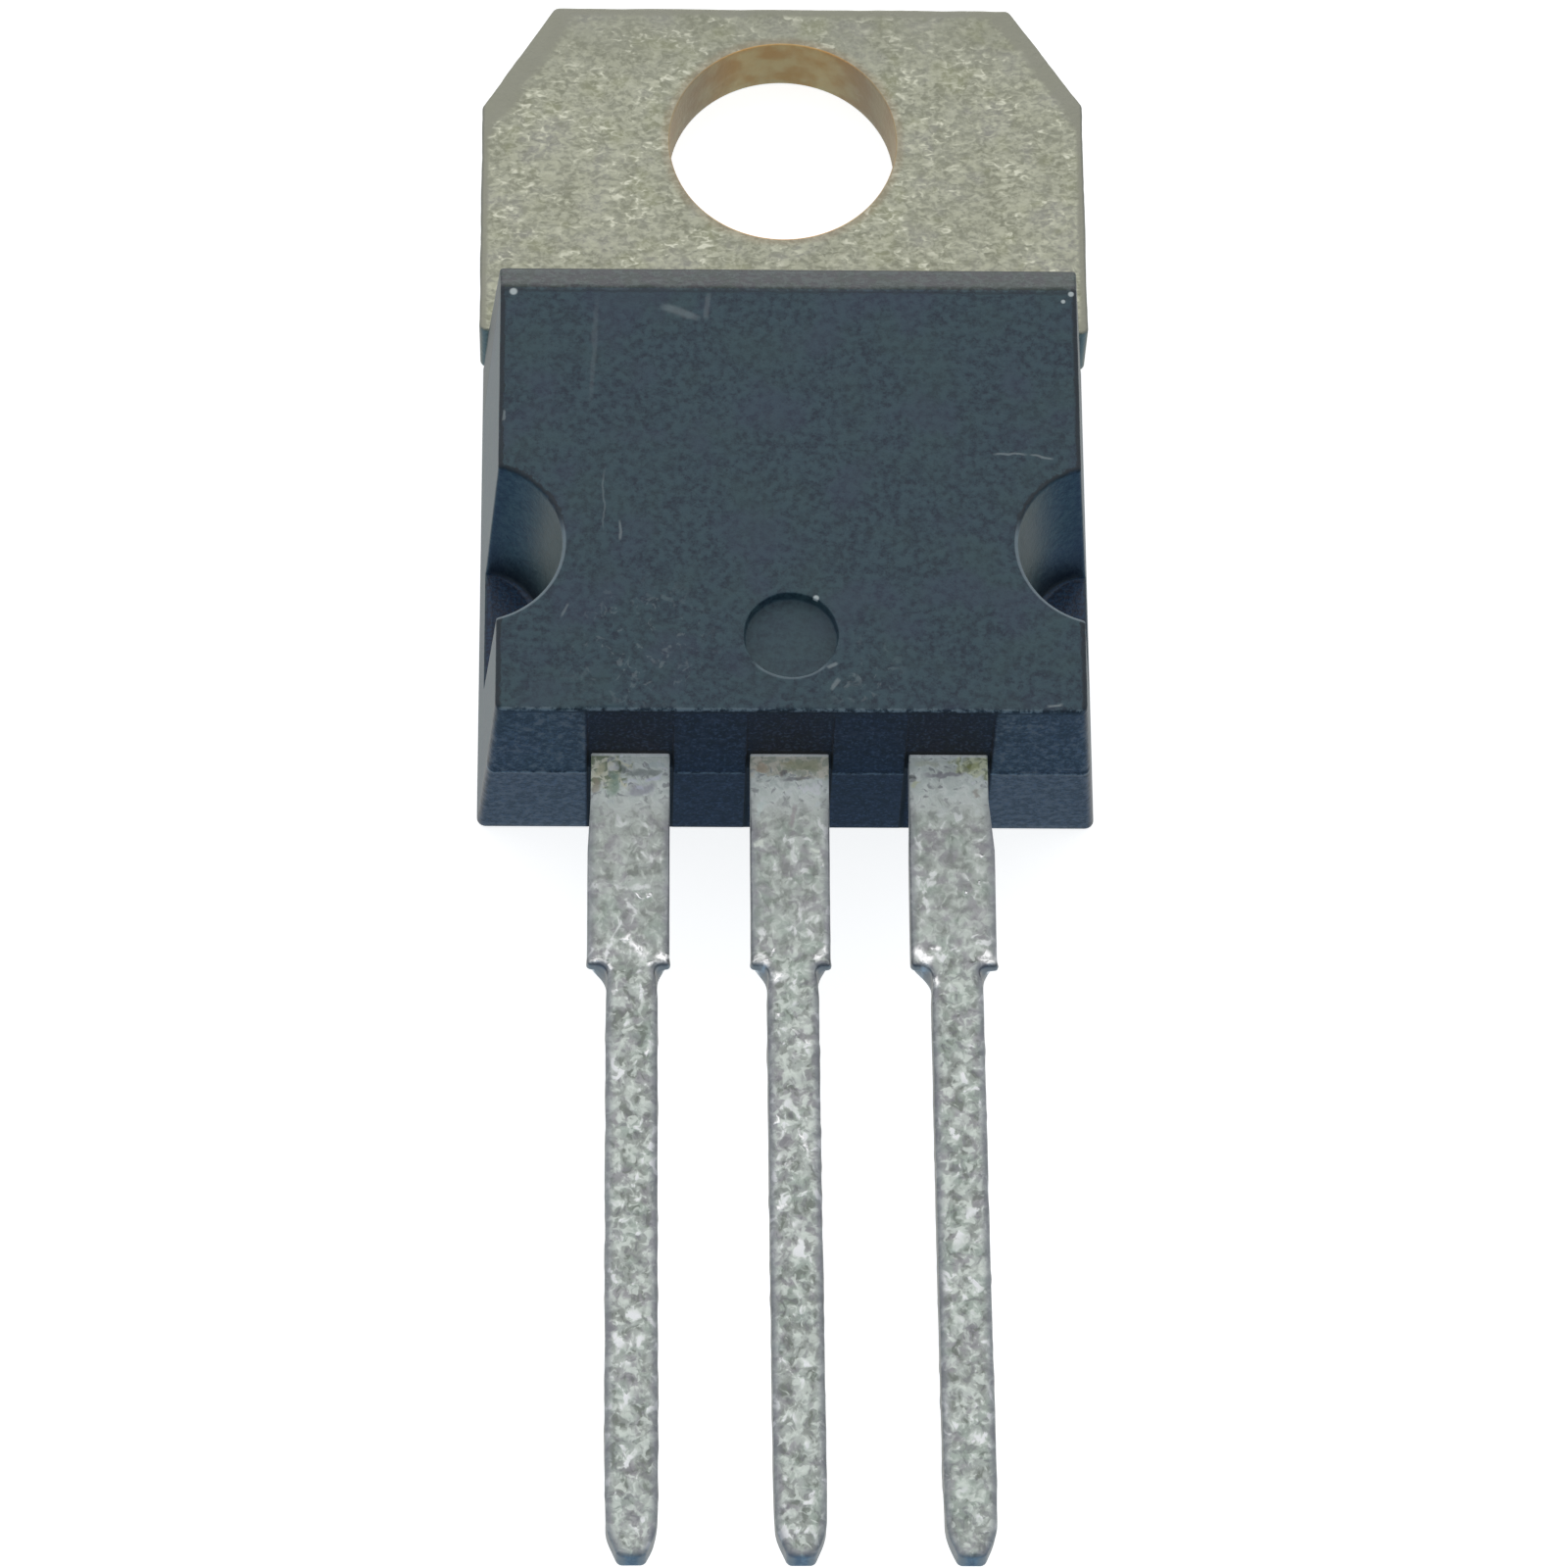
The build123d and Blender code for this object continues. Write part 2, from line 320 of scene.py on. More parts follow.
def plate():
    """The plate as a ring: its section runs from the hole over the front, round the outer edge and back
    along the rear to the hole. Each point of a row is the outline's point, or lies between it and the
    hole's edge on the same ray from the hole's axis."""
    upper, normal = plate_outline(spreader_width / 2, spreader_end_y)
    lower, lower_normal = plate_outline(spreader_width / 2 - ledge_step, spreader_end_y + ledge_step)
    ray = upper / np.linalg.norm(upper, axis=1)[:, None]
    lower_ray = lower / np.linalg.norm(lower, axis=1)[:, None]
    run = np.cumsum(np.linalg.norm(np.diff(upper, axis=0, prepend=upper[-1:]), axis=1))
    uneven = 0.006 * ripple(run, 0, 0.5, 3) + 0.003 * ripple(run, 0, 0.13, 4)
    rows = []

    def row(plan, height):
        rows.append(np.column_stack([plan, np.broadcast_to(height, len(plan))]))

    top = tab_thickness
    for share in np.linspace(0, 1, 14)[:-1] ** 1.4:
        inner, outer = ray * (hole_radius + hole_edge), upper - normal * punched_edge
        row(inner + (outer - inner) * share, top)
    for angle in np.linspace(0, pi / 2, 6):
        inset = punched_edge * (1 - sin(angle)) + uneven[:, None] * (0.4 + 0.6 * sin(angle)) + plate_skin
        row(upper - normal * inset, top - punched_edge * (1 - cos(angle)))
    for height in np.linspace(top - punched_edge, ledge_height + ledge_gap, 6)[1:]:
        row(upper - normal * (plate_skin + uneven[:, None]), height)
    for height in np.linspace(ledge_height - ledge_gap, broken_edge, 5)[:-1]:
        row(lower - lower_normal * (plate_skin + uneven[:, None]), height)
    for angle in np.linspace(0, pi / 2, 4):
        inset = plate_skin + uneven[:, None] * cos(angle) + broken_edge * (1 - cos(angle))
        row(lower - lower_normal * inset, broken_edge * (1 - sin(angle)))
    for share in np.linspace(1, 0, 12)[1:] ** 1.4:
        inner = lower_ray * (hole_radius + broken_edge)
        outer = lower - lower_normal * (plate_skin + broken_edge)
        row(inner + (outer - inner) * share, 0)
    for angle in np.linspace(0, pi / 2, 4)[1:]:
        row(lower_ray * (hole_radius + broken_edge * (1 - sin(angle))), broken_edge * (1 - cos(angle)))
    for share in np.linspace(0, 1, 8)[1:-1]:
        blended = lower_ray * (1 - share) + ray * share
        blended /= np.linalg.norm(blended, axis=1)[:, None]
        row(blended * hole_radius, broken_edge + (top - hole_edge - broken_edge) * share)
    for angle in np.linspace(0, pi / 2, 6)[:-1]:
        row(ray * (hole_radius + hole_edge * (1 - cos(angle))), top - hole_edge * (1 - sin(angle)))
    return skin("collector_plate", np.array(rows), wrap_rows=True)


def plating_finish():
    """Matte tin over copper: a warm grey with short soft streaks a little lighter than the rest, which
    are painted glints, plainer beside the cut corners, with painted shade along the rolled side edges,
    and bare copper showing in the punched hole."""
    tin = Finish("matte_tin_plating")
    half = tab_width / 2
    cloud = tin.noise(1.5, 3, 0.6)
    worm = tin.noise(8.4, 2, 0.5, 0.7, tin.stretched(0.75, 1.3))
    twist = tin.noise(7.4, 2, 0.5, 0.8, tin.stretched(0.95, 1.15))
    crumb = tin.noise(11.5, 1, 0.5, 0.4)
    gate = tin.noise(1.7, 2, 0.5)

    def beside_cut(sign, along):
        """Distance from the line of a cut corner, measured into the tab."""
        slant = sqrt(along**2 + corner_cut_across**2)
        inward = (-sign * along / slant, -corner_cut_across / slant, 0)
        reach = (half * along + (hole_to_tab_end - along) * corner_cut_across) / slant
        return tin.vector("DOT_PRODUCT", tin.place, inward, output="Value") + reach

    ragged = (cloud - 0.5) * 0.3 + (worm - 0.5) * 0.2
    plain = (beside_cut(-1, corner_cut_along_left) + ragged).rises(0.52, 0.32)
    plain = plain.either((beside_cut(1, corner_cut_along_right) + ragged).rises(0.42, 0.26))
    plain = plain.either((abs(tin.x) + ragged * 0.3).rises(half - 0.15, half - 0.07))
    plain = plain.either((tin.y + ragged * 0.4).rises(hole_to_tab_end - 0.2, hole_to_tab_end - 0.1))
    lively = (1 - plain) * (1 - tin.y.rises(1.1, 2.1) * 0.35)
    # Painted glints: the lighter worm, twist and crumb streaks and the brightest crests stand for light
    # caught by the plating's relief.
    bright = worm.rises(0.56, 0.7) * gate.rises(0.45, 0.62)
    tin.colour = tin.mix(cloud.rises(0.35, 0.65), ink("939483"), ink("a0a192"))
    tin.coat(tin.noise(1.9, 2).rises(0.5, 0.7) * 0.5, "a0a284")
    tin.coat(tin.noise(1.4, 2, 0.5, 0.3).rises(0.5, 0.7) * 0.6, "9b9a96")
    tin.coat(worm.rises(0.42, 0.64) * lively * 0.65, "c0c1ac")
    tin.coat(twist.rises(0.5, 0.66) * lively * 0.5, "c6c7b4")
    tin.coat(tin.y.rises(1.1, 2.1) * lively * 0.35, "8e8f81")
    tin.coat(crumb.rises(0.46, 0.7) * lively * 0.35, "c8c9b4")
    tin.coat(worm.rises(0.42, 0.28) * lively * 0.3, "848571")
    tin.coat(bright * 0.65 * lively, "e8e8d6")
    tin.coat(plain * 0.85, "969689")
    radius = tin.distance(0, 0)
    warm = (radius + ragged * 0.4).rises(hole_radius + 0.2, hole_radius + 0.03)
    tin.coat(warm * 0.35, "a58f76")
    bare = radius.rises(hole_radius + 0.03, hole_radius + 0.012)
    copper = tin.mix(tin.noise(2, 3).rises(0.35, 0.65), ink("f0b66a"), ink("ffd892"))
    at_side = abs(tin.x).rises(0.6, 1.7)
    copper = tin.mix(at_side * 0.72, copper, ink("a39a86"))
    tin.coat(bare * 0.95, copper)
    # Painted shade: the rolled side edges are darkened where they turn away from the light.
    edge = abs(tin.x).rises(half - 0.07, half - 0.02)
    tin.coat(edge * 0.5, "84847e")
    roughness = 0.5 - bright * 0.1 - plain * 0.04 + bare * 0.1
    height = worm * 0.7 + crumb * 0.3 + cloud * 0.5
    return tin.surface(tin.colour, roughness, height, 0.016, metallic=0.85 - bare * 0.6)


collector_plate = plate()
collector_plate.data.materials.append(plating_finish())
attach(collector_plate, "root")
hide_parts("collector_frame")

# Leads: three strips of the same stamped frame, thinner than the tab, wide at the body and narrow past
# the shoulders. They are dipped in solder, which has run a little rough and stained at the body.
lead_pitch = 2.54
lead_thickness = 0.5
lead_mid_height = 2.67
lead_root_width = 1.27
lead_width = 0.77
lead_end_y = -12.54
shoulder_y = lead_end_y - 3.65
tip_y = lead_end_y - 13.5
tip_width = 0.42
tip_length = 0.42
tip_rounding = 0.12
lead_edge = 0.085
root_edge = 0.035
lead_skin = 0.006
spine_end = 0.13
front_fillet = 0.1
rear_fillet = 0.7
rear_taper = 0.2
solder_swell = 0.03
bend_reach = 0.65
bend_length = 0.6
pad_reach = 1.3
spreader_overlap = 0.3


def lead(name, x, root_y, offset, lean, coats=(0, 0), bend=False):
    """A strip along Y: the plan outline of one side runs from the tip to the root, each of its points
    carries half a section with rounded edges, and the other half is its mirror image. The front and rear
    lie between the outline and a line of points down the middle of the strip. At the rear the trimmed
    shoulders are cut on a slant. The leg is cut off the middle of the wide part by the offset, and
    leans over towards its tip by the power of 1.5 of its length. The edges are sharper in the body than
    past the shoulders, and solder has built up on the left and right of the wide part by the two
    coats."""
    half_tip, half_leg, half_root = tip_width / 2, lead_width / 2, lead_root_width / 2

    def side(slant, fillet):
        return rounded_line(
            [
                (0, tip_y),
                (half_tip, tip_y),
                (half_leg, tip_y + tip_length),
                (half_leg, shoulder_y - slant * 0.5),
                (half_root, shoulder_y + slant * 1.1),
                (half_root, root_y),
            ],
            [0, tip_rounding, 1.0, fillet, 0.08, 0],
            [7, 6, 250, 8, 110],
            closed=False,
        )

    outline, normal = side(0, front_fillet)
    rear, rear_normal = side(rear_taper, rear_fillet)
    outline, rear = outline - normal * lead_skin, rear - rear_normal * lead_skin
    steps = np.linalg.norm(np.diff(outline, axis=0, prepend=outline[:1]), axis=1)
    run = np.cumsum(steps)
    middle = tip_y + spine_end + (root_y - tip_y - spine_end) * run / run[-1]
    near_tip = np.clip((outline[:, 1] - tip_y) / 0.6, 0, 1)
    middle = middle * near_tip + (outline[:, 1] + spine_end) * (1 - near_tip)
    spine = np.column_stack([np.zeros(len(run)), np.clip(middle, tip_y + spine_end, root_y)])
    half = np.full(len(run), lead_thickness / 2 - lead_skin)
    edge = lead_edge - (lead_edge - root_edge) * np.clip((outline[:, 1] - shoulder_y) / 1.6, 0, 1)

    def section(line, out):
        inward = out * edge[:, None]
        flat = line - inward
        flat[:, 0] = np.maximum(flat[:, 0], 0)
        made = [(spine + (flat - spine) * share, half, 1.0) for share in np.linspace(0, 1, 9)[:-1]]
        for angle in np.linspace(0, pi / 2, 6):
            around = line - inward * (1 - sin(angle))
            around[:, 0] = np.maximum(around[:, 0], 0)
            made.append((around, half - edge * (1 - cos(angle)), cos(angle)))
        return made

    upper = section(outline, normal)
    lower = [(plan, -height, -lift) for plan, height, lift in section(rear, rear_normal)[::-1]]
    sides = [
        (outline + (rear - outline) * (0.5 - share), half * share * 0.6, 0.0)
        for share in (0.4, 0.1, -0.2)
    ]
    right = upper + sides + lower
    plans = [plan for plan, _, _ in right] + [plan * (-1, 1) for plan, _, _ in right[-2:0:-1]]
    heights = [height for _, height, _ in right] + [height for _, height, _ in right[-2:0:-1]]
    lifts = [lift for _, _, lift in right] + [lift for _, _, lift in right[-2:0:-1]]
    plan = np.stack(plans, 1)
    height = np.stack(heights, 1)
    lift = np.broadcast_to(np.array(lifts), plan.shape[:2])
    across = plan[..., 0] + height * 0.7
    along = plan[..., 1]
    seed = int(round(x * 10)) + 60
    lumps = 0.6 * ripple(across, along * 0.75, 0.3, seed)
    lumps = lumps + 0.4 * ripple(across, along * 0.8, 0.14, seed + 1)
    beads = np.clip(ripple(across, along * 0.8, 0.22, seed + 2) - 0.3, 0, 1) * 1.4
    beyond = np.clip((shoulder_y + 0.9 - along) / 1.2, 0, 1)
    ledge = np.exp(-(((along - shoulder_y - 0.04) / 0.09) ** 2)) * (abs(plan[..., 0]) > half_leg - 0.05)
    rise = (0.004 + 0.008 * beyond) * lumps + 0.02 * beads * beyond + 0.02 * ledge
    free = np.clip((lead_end_y - 0.05 - along) / 0.4, 0, 1)
    rise = np.clip(rise, -0.015, 0.03) * free
    swell = solder_swell * np.clip((shoulder_y - along) / 0.5, 0, 1)
    swell = swell * np.clip((along - tip_y) / 1.2, 0, 1)
    points = np.stack([plan[..., 0], plan[..., 1], height + rise * lift], -1)
    outward = (rise * 0.7 + swell) * (1 - abs(lift)) + swell * abs(lift) * abs(plan[..., 0]) / half_leg
    points[..., 0] += np.sign(plan[..., 0]) * outward * (abs(plan[..., 0]) > 0.02)
    points[..., 0] += offset * np.clip((shoulder_y + 0.1 - along) / 0.3, 0, 1)
    points[..., 0] += lean * np.clip((shoulder_y - along) / (shoulder_y - tip_y), 0, 1) ** 1.5
    coated = np.clip((lead_end_y - 0.7 - along) / 0.9, 0, 1)
    coated = coated * np.clip((along - shoulder_y + 0.5) / 0.5, 0, 1)
    coat = np.where(plan[..., 0] < 0, coats[0], coats[1]) * coated
    points[..., 0] += np.sign(plan[..., 0]) * coat * np.clip((abs(plan[..., 0]) - 0.3) / 0.3, 0, 1)
    rim_width = 0.16
    rim = abs(plan[..., 0]) - np.maximum(outline[:, :1], rim_width) + rim_width
    rim = np.clip(rim / rim_width, 0, 1) + 1 - abs(lift)
    if bend:
        drop = lead_mid_height - (tab_thickness - lead_thickness / 2)
        share = np.clip((along - (spreader_end_y - bend_reach)) / bend_length, 0, 1)
        points[..., 2] -= drop * share * share * (3 - 2 * share)
    points[..., 0] += x
    points[..., 2] += lead_mid_height
    return skin(name, points, poles=[tuple(points[0].mean(0)), tuple(points[-1].mean(0))], rim=rim)


def solder_finish(name, x, stain_side, stains, stain_length, glints, smears_and_glints):
    """Dipped solder: a calm grey-green skin on the wide part and a lumpy one below the shoulders, with
    pale crests, duller sides, painted glints and painted shade under the shoulders, and with marks and a
    stain of two colours where the lead leaves the body. That part is also painted near-white as painted
    light. A glint is a place, length, width and turn, and each of smears_and_glints has a colour too; its
    white ones are painted highlights."""
    solder = Finish(name)
    pool = solder.noise(2.2, 3, 0.6, 0.3)
    cloud = solder.noise(4.6, 3, 0.55, 0.5)
    lump = solder.noise(4.4, 3, 0.5, 0.5, solder.stretched(1.2, 0.9))
    curl = solder.noise(6.8, 2, 0.5, 0.7)
    gate = solder.noise(1.8, 2, 0.5)
    speck = solder.noise(9, 2, 0.5, 0.5)
    below = solder.y.rises(shoulder_y + 0.9, shoulder_y - 0.4)
    root = solder.y.rises(lead_end_y - 1.3, lead_end_y - 0.5)
    lively = (below * 0.45 + 0.55).either(root * 0.85)
    # Painted glints: the brightest lump crests are coated white and made less metal.
    bright = lump.rises(0.57, 0.66) * gate.rises(0.45, 0.56) * lively
    solder.colour = solder.mix(cloud.rises(0.4, 0.6), ink("9ea39e"), ink("b9bfba"))
    solder.coat(solder.noise(3, 2, 0.5, 0.3).rises(0.48, 0.62) * 0.6, "a19da4")
    solder.coat(pool.rises(0.48, 0.64) * 0.5, "adbcb0")
    # Painted light: near the body the lead is coated near-white and its metal shine is taken away,
    # standing in for light that the body's end wall keeps off it.
    solder.coat(root * 0.97, "fbfff8")
    solder.coat(root * cloud.rises(0.54, 0.42) * 0.15, "a3b0a2")
    solder.coat(lump.rises(0.46, 0.34) * (0.7 - root * 0.4) * lively, "747a72")
    solder.coat(curl.rises(0.52, 0.66) * 0.75 * lively, "dfe6df")
    solder.coat(lump.rises(0.5, 0.62) * 0.6 * lively, "dce4dc")
    solder.coat(curl.rises(0.43, 0.33) * (0.5 + root * 0.2) * lively, "7d7c82")
    solder.coat(bright, "ffffff")
    rim = solder.node("ShaderNodeAttribute", {"attribute_name": "rim"}, output="Fac")
    solder.coat(rim.rises(0.0, 0.9) * (0.65 - root * 0.45), "8f9199")
    under = rim.rises(1.3, 1.9)
    solder.coat(under * 0.9, "b6b0a8")
    # Painted shade: a dark line in the crease under the trimmed shoulders.
    shoulder_shade = abs(solder.y - shoulder_y).rises(0.18, 0.1)
    solder.coat(shoulder_shade * abs(rim - 1.25).rises(0.25, 0.12) * 0.5, "45454b")
    ragged = (curl - 0.5) * 1.2 + (cloud - 0.5)
    at_root = (solder.y + ragged * 0.4).rises(lead_end_y - stain_length, lead_end_y - stain_length * 0.6)
    side = ((solder.x - x) * stain_side + ragged).rises(0.04, 0.28) if stain_side else 0.8
    dull, pale = (ink(stain) for stain in stains)
    solder.coat(at_root * side * 0.8, solder.mix(speck.rises(0.42, 0.56), dull, pale))
    wandering = solder.shaken(6, 0.18)
    # Marks in smears_and_glints are stains of the solder, and their white ones are painted highlights.
    for *place, smear_or_glint in smears_and_glints:
        solder.coat(solder.scratch(*place, wandering) * 0.65, smear_or_glint)
    # Painted highlights: a white line where the lead enters the body, and the listed glints, coated white
    # with a metal's shine.
    painted_glints = solder.y.rises(lead_end_y + 0.04, lead_end_y + 0.06) * 0.7
    for glint in glints:
        painted_glints = painted_glints.either(solder.scratch(*glint, wandering) * (speck.rises(0.42, 0.52) * 0.6 + 0.4))
    solder.coat(painted_glints, "ffffff")
    roughness = 0.42 + pool * 0.14 - bright * 0.12 - painted_glints * 0.2
    height = lump * 0.8 * lively + curl * 0.2 + pool * 0.6 + painted_glints * 0.3
    metallic = (0.85 - root * 0.8 - bright * 0.7 - under * 0.8).either(0.0)
    metallic = metallic * (1 - painted_glints) + painted_glints * (0.9 - root * 0.9)
    return solder.surface(solder.colour, roughness, height, 0.03, metallic=metallic)


pad_y = lead_end_y + pad_reach
joint_y = spreader_end_y + spreader_overlap
base_lead = lead("dipped_base_lead", -lead_pitch, pad_y, offset=0.035, lean=0.03, coats=(0.045, 0))
collector_lead = lead("dipped_collector_lead", 0, joint_y, offset=0.035, lean=0.07, bend=True)
emitter_lead = lead(
    "dipped_emitter_lead", lead_pitch, pad_y, offset=0.085, lean=0.07, coats=(0.015, 0.085)
)
# The glints below are painted highlights, and so are the white marks among the smears_and_glints lists.
base_glints = [
    (-2.22, -14.95, 0.13, 0.06, 0),
    (-2.37, -14.96, 0.2, 0.03, -30),
    (-2.58, -15.7, 0.24, 0.09, 35),
    (-2.4, -15.9, 0.46, 0.085, -44),
    (-2.03, -16.02, 0.22, 0.12, 60),
    (-2.17, -16.13, 0.28, 0.05, 12),
    (-3.04, -16.1, 0.3, 0.05, -10),
    (-2.86, -16.2, 0.16, 0.05, -50),
    (-2.78, -16.62, 0.13, 0.06, 20),
    (-2.26, -17.68, 0.14, 0.05, 50),
]
collector_glints = [
    (0.49, -14.42, 0.08, 0.04, 0),
    (0.48, -15.98, 0.36, 0.08, 48),
    (-0.46, -16.08, 0.34, 0.12, -30),
    (-0.16, -16.36, 0.34, 0.14, 15),
    (-0.28, -15.95, 0.2, 0.03, 60),
    (-0.18, -17.06, 0.12, 0.07, 0),
    (0.06, -17.32, 0.26, 0.035, -35),
    (0.26, -17.49, 0.12, 0.045, -20),
    (-0.22, -18.82, 0.2, 0.045, 70),
    (0.17, -19.16, 0.5, 0.05, -64),
    (-0.07, -19.56, 0.18, 0.045, 25),
    (-0.17, -20.28, 0.2, 0.06, 35),
]
emitter_glints = [
    (2.08, -16.0, 0.44, 0.17, -45),
    (2.3, -15.86, 0.2, 0.06, 20),
    (3.1, -16.02, 0.34, 0.13, -40),
    (2.3, -16.45, 0.24, 0.07, 80),
    (3.0, -14.7, 0.12, 0.03, 80),
    (2.8, -14.9, 0.08, 0.03, 0),
    (3.02, -14.23, 0.16, 0.05, -15),
]
base_smears_and_glints = [
    (-2.36, -13.1, 0.5, 0.16, 4, "aaa6b4"),
    (-2.32, -12.79, 0.7, 0.07, 3, "7f8785"),
    (-2.68, -12.71, 0.24, 0.09, -30, "56655b"),
    (-2.8, -12.98, 0.55, 0.13, 84, "7fa085"),
    (-2.8, -12.7, 0.24, 0.1, 15, "ffffff"),
    (-3.02, -12.76, 0.3, 0.08, 80, "efe9c8"),
    (-3.08, -13.02, 0.3, 0.07, 85, "b8ab94"),
    (-2.12, -12.66, 0.34, 0.06, 3, "d4dedb"),
    (-2.54, -12.94, 0.22, 0.055, 3, "f2f5fa"),
    (-2.17, -12.88, 0.34, 0.06, 15, "f2f3ff"),
    (-2.4, -13.05, 0.18, 0.06, 0, "e8eaf6"),
    (-2.87, -13.32, 0.18, 0.06, 0, "d6ddda"),
]
collector_smears_and_glints = [
    (0.2, -12.65, 0.8, 0.12, 0, "a9ac84"),
    (-0.43, -12.69, 0.2, 0.13, 60, "cfb89e"),
    (-0.05, -12.6, 0.3, 0.05, 0, "c3bd98"),
    (0.12, -12.88, 0.6, 0.05, 6, "7f7c84"),
    (-0.09, -12.79, 0.16, 0.05, 10, "54474f"),
    (0.04, -13.55, 0.45, 0.06, 80, "aca2a6"),
    (-0.02, -13.13, 0.24, 0.07, 45, "f2f5f2"),
    (-0.48, -13.42, 0.34, 0.07, 70, "dde8e3"),
    (0.24, -13.58, 0.22, 0.05, 5, "e8ece6"),
    (0.43, -13.35, 0.18, 0.07, 40, "e2e8e6"),
    (-0.5, -14.05, 0.18, 0.08, 20, "eef4ea"),
    (0.41, -14.17, 0.22, 0.055, 0, "eef4ea"),
]
emitter_smears_and_glints = [
    (2.2, -12.6, 0.45, 0.08, 0, "d6d9c6"),
    (2.96, -12.67, 0.26, 0.1, 30, "cfd29c"),
    (2.88, -12.66, 0.14, 0.05, 80, "80864a"),
    (2.48, -12.8, 0.75, 0.05, 4, "8b8290"),
    (1.97, -12.83, 0.1, 0.05, 0, "454a48"),
    (1.99, -12.96, 0.14, 0.06, 60, "dbdeb8"),
    (2.96, -13.15, 0.2, 0.08, 100, "a09488"),
    (3.04, -13.1, 0.16, 0.06, 50, "d6dacf"),
    (2.42, -13.46, 0.22, 0.09, 55, "e4e9e6"),
    (2.99, -13.47, 0.16, 0.08, 0, "e4e9e6"),
]
base_solder = solder_finish(
    "base_lead_solder", -lead_pitch, -1, ("808c62", "f8f4da"), 0.6, base_glints, base_smears_and_glints
)
collector_solder = solder_finish(
    "collector_lead_solder", 0, 0, ("a4a488", "e8dcc6"), 0.34, collector_glints, collector_smears_and_glints
)
emitter_solder = solder_finish(
    "emitter_lead_solder", lead_pitch, 1, ("99a070", "f0f2cc"), 0.3, emitter_glints, emitter_smears_and_glints
)
for piece, node, solder in (
    (base_lead, "base_lead", base_solder),
    (collector_lead, "collector_frame", collector_solder),
    (emitter_lead, "emitter_lead", emitter_solder),
):
    piece.data.materials.append(solder)
    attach(piece, "root")
    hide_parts(node)

# Body: dark epoxy moulded round the frame in one shot. Its walls lean in from the base, two half-round
# notches clear the clamps, and shallow slots at the leads and a round pin mark are left by the mould.
body_height = 4.5
body_base_half = 5.04
side_draft = tan(radians(4.6))
tab_end_draft = tan(radians(10.0))
bevel_run = 0.53
bevel_foot_z = 4.2
back_draft = tan(radians(4.5))
lead_end_draft = tan(radians(2.0))
parting_z = 2.42
notch_radius = 1.41
notch_draft = tan(radians(6.7))
notch_y = lead_end_y + 3.07
notch_floor_z = 1.4
slot_half = lead_root_width / 2 + 0.05
slot_depth = 0.1
slot_top_z = 4.42
lead_end_corner = 0.14
tab_end_corner = 0.06
pin_mark_y = lead_end_y + 1.42
pin_mark_radius = 0.76
pin_mark_depth = 0.22
pin_mark_floor_z = body_height - pin_mark_depth
pin_mark_lip = 0.02
face_edge = 0.05
face_border = 0.1
base_edge = 0.05
base_recess = 0.012


def spaced(count, crowding=0.75):
    """Shares from 0 up to, but not including, 1 that lie closer together near both ends."""
    share = np.arange(count) / count
    return share - crowding * np.sin(2 * pi * share) / (2 * pi)


def body_outline(z, notch_open, inset=0.0):
    """Plan of the body at height z, anticlockwise from its corner by the base lead, with its walls moved
    in by the inset. notch_open takes each notch from its chord, at 0, to its arc, at 1. Quarter circles
    turn the four corners, and averaging near points rounds the rest."""
    above = max(z - tab_thickness, 0)
    half = body_base_half - z * side_draft - inset
    end = -hole_to_body - min(above, bevel_foot_z - tab_thickness) * tab_end_draft - inset
    end -= max(z - bevel_foot_z, 0) * bevel_run / (body_height - bevel_foot_z)
    foot_draft = back_draft if z < parting_z else lead_end_draft
    foot = lead_end_y + abs(z - parting_z) * foot_draft + inset
    deep = foot + slot_depth * np.clip(min((slot_top_z - z) / (slot_top_z - parting_z), z), 0.03, 1)
    radius = notch_radius - (body_height - max(z, notch_floor_z)) * notch_draft + inset
    chord = sqrt(radius**2 - (body_base_half - half) ** 2)
    swing = np.arctan2(chord, body_base_half - half)
    turn, small_turn = lead_end_corner - inset * 0.7, tab_end_corner - inset * 0.5
    runs = []

    def run(start, stop, count):
        share = spaced(count)[:, None]
        runs.append(np.array(start) + (np.array(stop) - np.array(start)) * share)

    def corner(x, y, turn, start):
        angle = start + np.arange(10)[:, None] / 10 * pi / 2
        runs.append(np.hstack([x + turn * np.cos(angle), y + turn * np.sin(angle)]))

    def notch(sign):
        angle = (2 * spaced(58, 0.5)[:, None] - 1) * swing * sign
        arc = [sign * (body_base_half - radius * np.cos(angle)), notch_y + radius * np.sin(angle)]
        flat = [np.full_like(angle, sign * half), notch_y + chord * np.sin(angle) / sin(swing)]
        arc, flat = np.hstack(arc), np.hstack(flat)
        runs.append(flat + (arc - flat) * notch_open)

    x = turn - half
    for centre in (-lead_pitch, 0, lead_pitch):
        run((x, foot), (centre - slot_half, foot), 20)
        run((centre - slot_half, foot), (centre - slot_half, deep), 4)
        run((centre - slot_half, deep), (centre + slot_half, deep), 18)
        run((centre + slot_half, deep), (centre + slot_half, foot), 4)
        x = centre + slot_half
    run((x, foot), (half - turn, foot), 20)
    corner(half - turn, foot + turn, turn, -pi / 2)
    run((half, foot + turn), (half, notch_y - chord), 24)
    notch(1)
    run((half, notch_y + chord), (half, end - small_turn), 38)
    corner(half - small_turn, end - small_turn, small_turn, 0)
    run((half - small_turn, end), (small_turn - half, end), 92)
    corner(small_turn - half, end - small_turn, small_turn, pi / 2)
    run((-half, end - small_turn), (-half, notch_y + chord), 38)
    notch(-1)
    run((-half, notch_y - chord), (-half, foot + turn), 24)
    corner(turn - half, foot + turn, turn, pi)
    plan = np.concatenate(runs)
    weights = (0.1, 0.2, 0.4, 0.2, 0.1)
    return sum(np.roll(plan, shift, 0) * weight for shift, weight in zip(range(-2, 3), weights))


